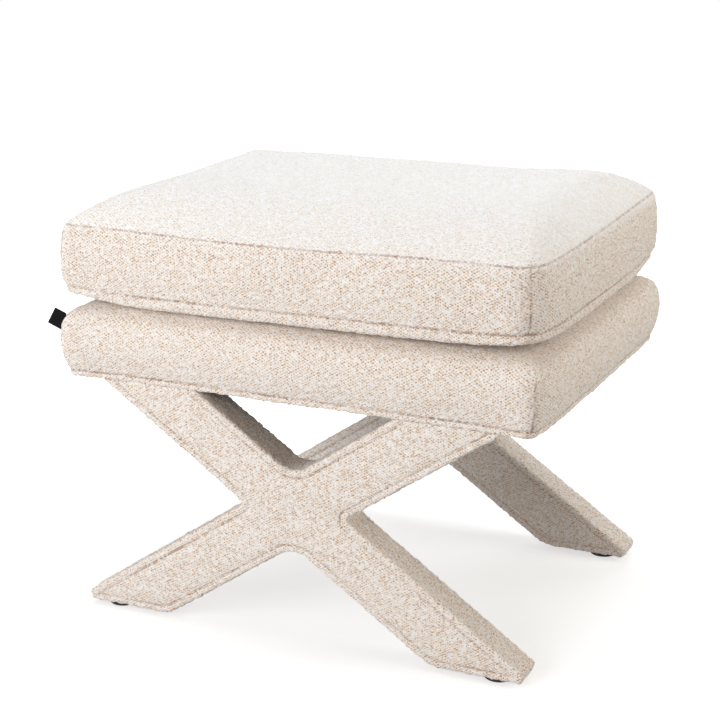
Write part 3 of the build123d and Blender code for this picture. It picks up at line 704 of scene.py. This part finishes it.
# %% One leg frame
LEG_TOP = 0.2912
CROSS = 0.1634                  # height of the crossing
BEAM_WIDTH = 0.0694
BEAM_LENGTH = 1.2               # more than enough, because the ends are cut off
LEG_DEPTH = 0.041
LEG_Y = 0.197
ARM_X, ARM_Z = 0.186, 0.290     # a place on an arm's middle line
SLOPE = (ARM_Z - CROSS) / ARM_X
ANGLE = math.atan(SLOPE)
RISE = BEAM_WIDTH / 2 / math.cos(ANGLE)     # crossing to notch
SOLE = 0.0062
TOE_HEIGHT = 0.017
TOE_PAD = 0.0015                # cloth and foam over the toe
TOE_X = (CROSS + RISE - TOE_HEIGHT) / SLOPE + TOE_PAD
HEEL_X = (CROSS - RISE - SOLE) / SLOPE
NOTCH_RADIUS, CROOK_RADIUS = 0.030, 0.006   # above and below the crossing, and beside it
TOE_RADIUS, SOLE_RADIUS, HEEL_RADIUS = 0.013, 0.004, 0.038


def beam(turn):
    """A long bar through the crossing, turned to one side."""
    begin()
    bpy.ops.mesh.primitive_cube_add(size=1, location=(0, 0, CROSS))
    bar = bpy.context.object
    bar.scale = (BEAM_LENGTH, LEG_DEPTH, BEAM_WIDTH)
    bar.rotation_euler = (0, turn, 0)
    put_into_mesh(bar)
    return bar


def cut_level(piece, spot, normal):
    """Cuts off what lies on the far side of a plane, and closes the cut."""
    take_up(piece)
    bpy.ops.object.mode_set(mode="EDIT")
    bpy.ops.mesh.select_all(action="SELECT")
    bpy.ops.mesh.bisect(plane_co=spot, plane_no=normal, use_fill=True, clear_outer=True)
    bpy.ops.object.mode_set(mode="OBJECT")


def round_edge(piece, x, z, radius, inside_angle):
    """Rounds the edge that runs through the depth at x and z."""
    take_up(piece)
    bpy.ops.object.mode_set(mode="EDIT")
    bpy.ops.mesh.select_mode(type="EDGE")
    bpy.ops.mesh.select_all(action="DESELECT")
    bpy.ops.object.mode_set(mode="OBJECT")
    for side in piece.data.edges:
        ends = [piece.data.vertices[index].co for index in side.vertices]
        side.select = all(abs(end.x - x) < 2e-4 and abs(end.z - z) < 2e-4 for end in ends)
    bpy.ops.object.mode_set(mode="EDIT")
    reach = radius / math.tan(inside_angle / 2)
    bpy.ops.mesh.bevel(offset=reach, offset_type="OFFSET", segments=8, profile=0.5)
    bpy.ops.object.mode_set(mode="OBJECT")


frame_cover = beam(ANGLE)
frame_cover.name = "leg_cover"
other = beam(-ANGLE)
shape_with(frame_cover, "BOOLEAN", operation="UNION", object=other, solver="EXACT")
bpy.data.objects.remove(other)
cut_level(frame_cover, (0, 0, LEG_TOP), (0, 0, 1))
cut_level(frame_cover, (0, 0, SOLE), (0, 0, -1))
for side in (-1, 1):
    cut_level(frame_cover, (side * TOE_X, 0, 0), (side, 0, 0))
for z in (CROSS + RISE, CROSS - RISE):
    round_edge(frame_cover, 0, z, NOTCH_RADIUS, math.pi - 2 * ANGLE)
for x, z, radius, inside_angle in (
        (RISE / SLOPE, CROSS, CROOK_RADIUS, 2 * ANGLE),
        (TOE_X, TOE_HEIGHT, TOE_RADIUS, math.pi / 2 + ANGLE),
        (TOE_X, SOLE, SOLE_RADIUS, math.pi / 2),
        (HEEL_X, SOLE, HEEL_RADIUS, math.pi - ANGLE)):
    for side in (1, -1):
        round_edge(frame_cover, side * x, z, radius, inside_angle)
print("leg frame", [round(side, 3) for side in frame_cover.dimensions],
      len(frame_cover.data.polygons), "faces")

# %% [markdown]
# The sewn line runs eight millimetres inside every edge of both faces. The edge outside it is a soft roll and
# the panel inside it is lightly padded. The distance from each point to the outline gives all three.

# %% Roll the edges and sew the faces
LEG_SEAM = 8.0                  # millimetres in from the outline
LEG_VOXEL = 3.0
FACE_DEPTH = 3.0                # what lies this near to a face, or nearer, belongs to it
LEG_ROLL, ROLL_MIDDLE, ROLL_WIDTH = 0.6, 4.2, 2.6
LEG_PAD, PAD_RUN = 1.1, 12.0    # height of the padding, and seam to where it is full
LEG_SINK = 0.8                  # depth of the sewn line
COVER = 0.6                     # grown all over, because smoothing draws the mesh in


def outline_of(piece, y):
    """Places along the outline of the flat face at y, less than a millimetre apart."""
    mesh = piece.data
    flat_faces = {}
    for face in mesh.polygons:
        for key in face.edge_keys:
            flat_faces[key] = flat_faces.get(key, 0) + (abs(face.normal.y) > 0.9)
    spots = []
    for key, count in flat_faces.items():
        first, second = (mesh.vertices[index].co for index in key)
        at_face = abs(first.y - y) < 1e-5 and abs(second.y - y) < 1e-5
        if count == 1 and at_face and min(first.z, second.z) < LEG_TOP - 1e-4:
            steps = max(2, round((second - first).length / (0.8 * MM)))
            spots += [first.lerp(second, step / steps) for step in range(steps + 1)]
    return [Vector((spot.x, 0, spot.z)) for spot in spots]


outline = outline_of(frame_cover, -LEG_DEPTH / 2)
tree = KDTree(len(outline))
for index, place in enumerate(outline):
    tree.insert(place, index)
tree.balance()

take_up(frame_cover)
frame_cover.data.remesh_voxel_size = LEG_VOXEL * MM
bpy.ops.object.voxel_remesh()
shape_with(frame_cover, "SMOOTH", factor=0.5, iterations=3)
points = points_of(frame_cover)
normals = normals_of(frame_cover)
inside = np.array([tree.find(Vector((x, 0, z)))[2] for x, _, z in points]) / MM
on_face = np.abs(points[:, 1]) > LEG_DEPTH / 2 - FACE_DEPTH * MM
roll = LEG_ROLL * np.exp(-((inside - ROLL_MIDDLE) / ROLL_WIDTH) ** 2)
pad = LEG_PAD * np.clip((inside - LEG_SEAM) / PAD_RUN, 0, 1) ** 0.7
sink = LEG_SINK * np.exp(-((inside - LEG_SEAM) / SEAM_WIDTH) ** 2)
push = np.where(on_face, roll + pad - sink, 0.0)
points += normals * COVER * MM
points[:, 1] += np.sign(points[:, 1]) * push * MM
move_points(frame_cover, points)
sewn = frame_cover.data.attributes.new("sewn", "FLOAT", "POINT")
near = np.where(on_face, SEAM_REACH - np.abs(inside - LEG_SEAM), 0)
sewn.data.foreach_set("value", np.maximum(0, near).astype(np.float32))
print("leg cover of", len(frame_cover.data.polygons), "faces")

# %% [markdown]
# The front frame's cover is finished first. The rear one is a copy with its own mesh, moved to the rear. Each
# gets its loops after it is in place, so that no two covers have the same lumps.

# %% Front and rear leg covers
LEG_NODES = ("outer_panel", "inner_panel", "welts", "upper_gusset", "lower_gusset", "end_gussets",
             "foam_sheets")
rear_cover = frame_cover.copy()
rear_cover.data = frame_cover.data.copy()
bpy.context.collection.objects.link(rear_cover)
for cover, name, y in ((frame_cover, "front_leg_cover", -LEG_Y), (rear_cover, "rear_leg_cover", LEG_Y)):
    cover.name = name
    cover.location.y = y
    put_into_mesh(cover)
    raise_loops(cover, height=3.7, size=3.6)
    leg = name.replace("_cover", "")
    dress(cover, cloth, "base", "looped_cloth", *[f"{leg}_{piece}" for piece in LEG_NODES])
print("two leg covers")

# %% [markdown]
# ## The zip
# The zip lies in the slot of the rear boxing: two woven tapes with a coil of nylon between them. One turn of
# the coil is a flattened ring, and an array repeats it along the zip. The lower tape is a strip with softened
# edges, and an array sets the upper one on the coil's other side. The metal slider and its pull stay as they
# are.

# %% The zip
COIL_PITCH = 2.0
WIRE = 0.35                     # half the wire's thickness, as a share of a turn's radius
TURN_SHARE = 0.8                # more than the wire's thickness, so that the turns stay apart
TAPE_EDGE = 0.3

nylon = Finish("zip_nylon", {"Roughness": 0.55})
ribs = nylon.read(nylon.node("TexWave", {"bands_direction": "X"}, {"Vector": nylon.place(), "Scale": 0.9}))
nylon.feed("Base Color", nylon.mix(ribs, shade(198, 180, 158), shade(226, 212, 194)))

coil_low, coil_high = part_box("zip_coil")
coil_size = coil_high - coil_low
coil_middle = (coil_low + coil_high) / 2
turns = int(coil_size.x / (COIL_PITCH * MM))
ring = 2 * (1 + WIRE)

begin()
bpy.ops.mesh.primitive_torus_add(
    major_radius=1.0, minor_radius=WIRE, major_segments=10, minor_segments=5,
    rotation=(0, math.radians(90), 0))
coil = bpy.context.object
coil.name = "zip_coil_turns"
coil.scale = (coil_size.z / ring, coil_size.y / ring, COIL_PITCH * MM / TURN_SHARE)
coil.location = (coil_low.x + COIL_PITCH * MM / 2, coil_middle.y, coil_middle.z)
put_into_mesh(coil)
shape_with(coil, "ARRAY", count=turns, use_relative_offset=False, use_constant_offset=True,
           constant_offset_displace=(COIL_PITCH * MM, 0, 0))
bpy.ops.object.shade_smooth()
dress(coil, nylon, "cushion", "zip_nylon", "zip_coil")

begin()
bpy.ops.mesh.primitive_cube_add(size=1)
tapes = bpy.context.object
tapes.name = "zip_tape_pair"
tapes.scale = (tape_high.x - tape_low.x, tape_high.y - tape_low.y, coil_low.z - tape_low.z)
tapes.location = (coil_middle.x, (tape_low.y + tape_high.y) / 2, (tape_low.z + coil_low.z) / 2)
put_into_mesh(tapes)
bpy.ops.object.mode_set(mode="EDIT")
bpy.ops.mesh.select_all(action="SELECT")
bpy.ops.mesh.bevel(offset=TAPE_EDGE * MM, segments=2, affect="EDGES")
bpy.ops.object.mode_set(mode="OBJECT")
shape_with(tapes, "ARRAY", count=2, use_relative_offset=False, use_constant_offset=True,
           constant_offset_displace=(0, 0, coil_high.z - tape_low.z))
dress(tapes, nylon, "cushion", "zip_nylon", "zip_tapes")
print("zip of", turns, "turns between tapes of", len(tapes.data.polygons), "faces")

# %% [markdown]
# ## Thin cloths
# Three pieces are single cloths. The deck cloth is plain cotton stretched under the cushion, the dust cover
# is black felted cloth stapled under the rails, and the tab is a short black tape folded into a corner seam.
# Each is a grid of its flat size, shaped a little and given its thickness.

# %% Deck cloth and dust cover
DECK_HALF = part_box("deck_cloth")[1] / MM
HEM = 8.0                       # edge of the deck cloth to its stitched line
STITCH = 5.0
THREAD, THREAD_RUN = 1.5, 0.04  # size of the weave's noise, and its stretch along the threads

cotton = Finish("deck_cotton", {"Roughness": 0.95, "Specular IOR Level": 0.1})
warp = cotton.read(cotton.noise(cotton.place((1, THREAD_RUN, 1)), THREAD))
weft = cotton.read(cotton.noise(cotton.place((THREAD_RUN, 1, 1)), THREAD))
threads = cotton.ease(0.5 * warp + 0.5 * weft, 0.4, 0.6)
sides = cotton.node("SeparateXYZ", None, {0: cotton.place()})
along, back = cotton.read(sides, 0), cotton.read(sides, 1)
from_side = DECK_HALF.x - along.math("ABSOLUTE", along)
from_front = DECK_HALF.y - back.math("ABSOLUTE", back)
to_edge = along.math("MINIMUM", from_side, from_front)
hem_line = cotton.ease(to_edge, HEM - 1.1, HEM - 0.3) * (1 - cotton.ease(to_edge, HEM + 0.3, HEM + 1.1))
step = (along + back) * (2 * math.pi / STITCH)
stitched = hem_line * cotton.ease(step.math("SINE", step), -0.5, 0.1)
weave_colour = cotton.mix(threads, shade(208, 196, 176), shade(242, 235, 222))
cotton.feed("Base Color", cotton.mix(0.6 * stitched, weave_colour, SEAM_BROWN))
cotton.emboss(0.4 * threads - 0.6 * hem_line, 0.4)
felt = Finish("dust_cloth", {"Roughness": 0.95, "Specular IOR Level": 0.2})
fluff = felt.read(felt.noise(felt.place(), 1.6, 4.0))
felt.feed("Base Color", felt.mix(fluff, shade(20, 20, 21), shade(52, 52, 54)))
felt.emboss(fluff, 0.3)


def stretched_cloth(name, node, finish, slot, height, dip, thickness):
    """A thin cloth over a node's place, at one height, with a soft dip in its middle."""
    low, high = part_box(node)
    size = high - low
    begin()
    bpy.ops.mesh.primitive_grid_add(x_subdivisions=48, y_subdivisions=36, size=1, location=(0, 0, height))
    sheet = bpy.context.object
    sheet.name = name
    sheet.scale = (size.x, size.y, 1)
    put_into_mesh(sheet)
    points = points_of(sheet)
    share = np.cos(np.pi * points[:, 0] / size.x) * np.cos(np.pi * points[:, 1] / size.y)
    points[:, 2] -= dip * MM * np.maximum(share, 0) ** 0.8
    move_points(sheet, points)
    shape_with(sheet, "SOLIDIFY", thickness=thickness * MM, offset=0)
    bpy.ops.object.shade_smooth_by_angle(angle=math.radians(40))
    dress(sheet, finish, "base", slot, node)
    print(name, [round(side, 3) for side in (size.x, size.y)])


stretched_cloth("deck_cotton_cloth", "deck_cloth", cotton, "looped_cloth",
                height=0.3779, dip=0.4, thickness=0.4)
stretched_cloth("dust_cover_cloth", "dust_cover", felt, "dust_cloth",
                height=0.2907, dip=0.9, thickness=0.4)

# %% [markdown]
# The tab is a short tape folded in two and sewn into the corner seam. It stands out to the left and rear, it
# leans in with the shoulder, and its lower edge hangs a little further out. The grid's length runs out along
# one layer, round the fold and back along the other.

# %% The woven tab
TAB_ROOT = Vector((-0.2965, -0.2250, 0.3568))
TAB_SWING = math.radians(22)    # from square to the side, towards the rear
TAB_HEIGHT = 25.0
TAB_OUT = 22.5                  # seam to the fold, at half height
TAB_TUCK = 6.0                  # sewn into the seam
TAB_SLANT = 12.0                # how much further the lower edge hangs out than the upper one
TAB_LIFT = 0.12                 # how steeply it stands up as it goes out
TAB_LEAN = Vector((0.277, -0.201, 0.940))   # its height's direction, which leans in with the shoulder
TAB_FOLD = 12                   # the fold takes up one part in twelve of each layer
TAB_LAYERS = 1.2                # thickness over both layers
TAPE = 0.4

ribbon = Finish("tab_weave", {"Roughness": 0.85, "Specular IOR Level": 0.06})
ribs = ribbon.read(ribbon.noise(ribbon.place((1, 1, 0.3)), 0.5, 1.0))
ribbon.feed("Base Color", ribbon.mix(ribs, shade(8, 8, 9), shade(26, 26, 28)))
ribbon.emboss(ribs, 0.15)

out = Vector((-math.cos(TAB_SWING), math.sin(TAB_SWING), TAB_LIFT)).normalized()
rise = TAB_LEAN.normalized()
through = rise.cross(out).normalized()
begin()
bpy.ops.mesh.primitive_grid_add(x_subdivisions=32, y_subdivisions=8, size=1)
tab = bpy.context.object
tab.name = "woven_tab"
places = []
for point in points_of(tab):
    along, up = 2 * abs(point[0]), point[1]
    hang = TAB_OUT - TAB_SLANT * up
    away = hang - (hang + TAB_TUCK) * along
    apart = math.copysign(min(1, TAB_FOLD * along) ** 0.5, point[0]) * (TAB_LAYERS - TAPE) / 2
    places.append(TAB_ROOT + (rise * up * TAB_HEIGHT + out * away + through * apart) * MM)
move_points(tab, np.array(places))
shape_with(tab, "SOLIDIFY", thickness=TAPE * MM, offset=0)
bpy.ops.object.shade_smooth_by_angle(angle=math.radians(40))
dress(tab, ribbon, "base", "tab_weave", "label_tab")
print("tab of", TAB_HEIGHT, "by", 2 * (TAB_OUT + TAB_TUCK), "mm")

# %% [markdown]
# ## Hard pieces
# The wooden frame, the fasteners, the glides and the slider keep their solids and get finishes. Wood has its
# grain along the piece, so there is a finish for each direction. Metal gets fine scratches in its roughness.

# %% Wood, metal and plastic
def wood(name, turn, light, dark):
    """Planed wood with its grain along X before the turn."""
    finish = Finish(name, {"Specular IOR Level": 0.3})
    grain = finish.read(finish.noise(finish.place((0.05, 1, 1), turn), 3.5, 5.0))
    rings = finish.read(finish.noise(finish.place((0.02, 0.3, 0.3), turn), 6.0, 2.0))
    figure = finish.ease(0.6 * grain + 0.4 * rings, 0.35, 0.68)
    finish.feed("Base Color", finish.mix(figure, light, dark))
    finish.feed("Roughness", 0.5 + 0.2 * grain)
    finish.emboss(grain, 0.2)
    return finish


def metal(name, colour, rough):
    """Plated metal with fine scratches in its roughness."""
    finish = Finish(name, {"Metallic": 1.0, "Base Color": colour})
    wear = finish.read(finish.noise(finish.place((1, 1, 0.15)), 0.8, 3.0))
    finish.feed("Roughness", rough + 0.2 * wear)
    finish.emboss(wear, 0.03)
    return finish


PINE_LIGHT, PINE_DARK = shade(226, 193, 146), shade(186, 143, 94)
PLY_LIGHT, PLY_DARK = shade(223, 195, 155), shade(198, 163, 118)
plastic = Finish("glide_plastic", {"Specular IOR Level": 0.4})
grain = plastic.read(plastic.noise(plastic.place(), 0.9, 2.0))
plastic.feed("Base Color", plastic.mix(grain, shade(22, 21, 20), shade(38, 37, 36)))
plastic.feed("Roughness", 0.42 + 0.2 * grain)
plastic.emboss(grain, 0.1)
quarter = math.radians(90)
finishes = {
    "along": wood("pine_along", (0, 0, 0), PINE_LIGHT, PINE_DARK),
    "across": wood("pine_across", (0, 0, quarter), PINE_LIGHT, PINE_DARK),
    "rising": wood("pine_rising", (0, ANGLE, 0), PINE_LIGHT, PINE_DARK),
    "falling": wood("pine_falling", (0, -ANGLE, 0), PINE_LIGHT, PINE_DARK),
    "upright": wood("pine_upright", (0, quarter, 0), PINE_LIGHT, PINE_DARK),
    "plywood": wood("plywood", (0, 0, 0), PLY_LIGHT, PLY_DARK),
    "steel": metal("steel", (0.58, 0.58, 0.59, 1), 0.28),
    "zip_metal": metal("zip_metal", (0.52, 0.5, 0.47, 1), 0.25),
    "glide_plastic": plastic,
}
grain_of = {"left_rail": "across", "right_rail": "across", "centre_rail": "across",
            "corner_blocks": "upright"}
slot_of = {piece["node"]: piece["material_slot"] for piece in frame["record"]["subparts"]}
finished = 0
for name, node in frame["nodes"].items():
    slot = slot_of[name]
    if slot == "frame_wood":
        way = next((way for way in ("rising", "falling") if way in name), "along")
        slot = grain_of.get(name, way)
    if slot in finishes:
        node.data.materials.clear()
        node.data.materials.append(finishes[slot].material)
        finished += 1
print("finishes on", finished, "nodes")

# %% [markdown]
# ## Studio
# The ottoman was photographed on white under soft light: a large low lamp from the front left, a weaker one
# from the right, one behind, and cool light from above that the cushion keeps off the base's shoulder. The
# world is white to the camera, and dimmer and warm as a light, so shadows are warm. The floor takes the
# shadow, and light of its own, which doesn't fall on the ottoman, lets it run out into the white background.

# %% Studio
WORLD_LIGHT = 0.3
FLOOR_GLOW = 0.62
GLOW_NEAR, GLOW_FAR = 350.0, 1100.0     # millimetres from the middle, between which the floor turns white
LAMP_AIM = Vector((0, 0, 0.3))
BLACK, WHITE, WARM = (0, 0, 0, 1), (1, 1, 1, 1), (1, 0.77, 0.55, 1)


def soft_lamp(name, place, size, power, tint):
    """A round lamp of a size in metres and a power in watts, turned to the ottoman."""
    begin()
    bpy.ops.object.light_add(type="AREA", location=place)
    lamp = bpy.context.object
    lamp.name = name
    lamp.data.shape = "DISK"
    lamp.data.size = size
    lamp.data.energy = power
    lamp.data.color = tint
    lamp.rotation_euler = (LAMP_AIM - Vector(place)).to_track_quat("-Z", "Y").to_euler()


def seen_share(tree):
    """One for camera, glossy and transmission rays, and zero for the rest."""
    path = tree.nodes.new("ShaderNodeLightPath")
    seen = Link(tree, path.outputs["Is Camera Ray"]) + Link(tree, path.outputs["Is Glossy Ray"])
    seen = seen + Link(tree, path.outputs["Is Transmission Ray"])
    return seen.math("MINIMUM", seen, 1.0)


soft_lamp("front_left_lamp", (-1.17, -2.77, 1.1), 2.0, 64, (0.94, 0.97, 1.0))
soft_lamp("right_lamp", (2.6, 0.7, 1.4), 1.8, 33, (0.98, 1.0, 0.97))
soft_lamp("rear_lamp", (-0.5, 2.9, 1.3), 1.8, 33, (0.85, 0.95, 1.0))
soft_lamp("overhead_lamp", (-0.3, 0.2, 3.0), 2.4, 39, (0.7, 0.86, 1.0))

bpy.context.scene.view_settings.view_transform = "Standard"
world = bpy.data.worlds.new("studio")
bpy.context.scene.world = world
world.use_nodes = True
sky = world.node_tree
sky.nodes.clear()
lit, shown = (sky.nodes.new("ShaderNodeBackground") for _ in range(2))
for node, tint, strength in ((lit, WARM, WORLD_LIGHT), (shown, WHITE, 1.0)):
    node.inputs["Color"].default_value = tint
    node.inputs["Strength"].default_value = strength
both = sky.nodes.new("ShaderNodeMixShader")
mixed = (seen_share(sky), Link(sky, lit.outputs[0]), Link(sky, shown.outputs[0]))
for socket, value in zip(both.inputs, mixed):
    plug_in(sky, socket, value)
sky.links.new(both.outputs[0], sky.nodes.new("ShaderNodeOutputWorld").inputs["Surface"])

begin()
bpy.ops.mesh.primitive_plane_add(size=14, location=(0, 0, -0.2 * MM))
floor = bpy.context.object
floor.name = "floor"
paint = Finish("floor_paint", {
    "Base Color": (0.55, 0.55, 0.55, 1), "Roughness": 1.0, "Specular IOR Level": 0.0,
    "Emission Strength": 1.0})
away = paint.node("VectorMath", {"operation": "LENGTH"}, {0: paint.place()})
far = paint.ease(paint.read(away, "Value"), GLOW_NEAR, GLOW_FAR)
paint.feed("Emission Color", paint.mix(seen_share(paint.tree) * (FLOOR_GLOW + far), BLACK, WHITE))
floor.data.materials.append(paint.material)
print("studio lit")
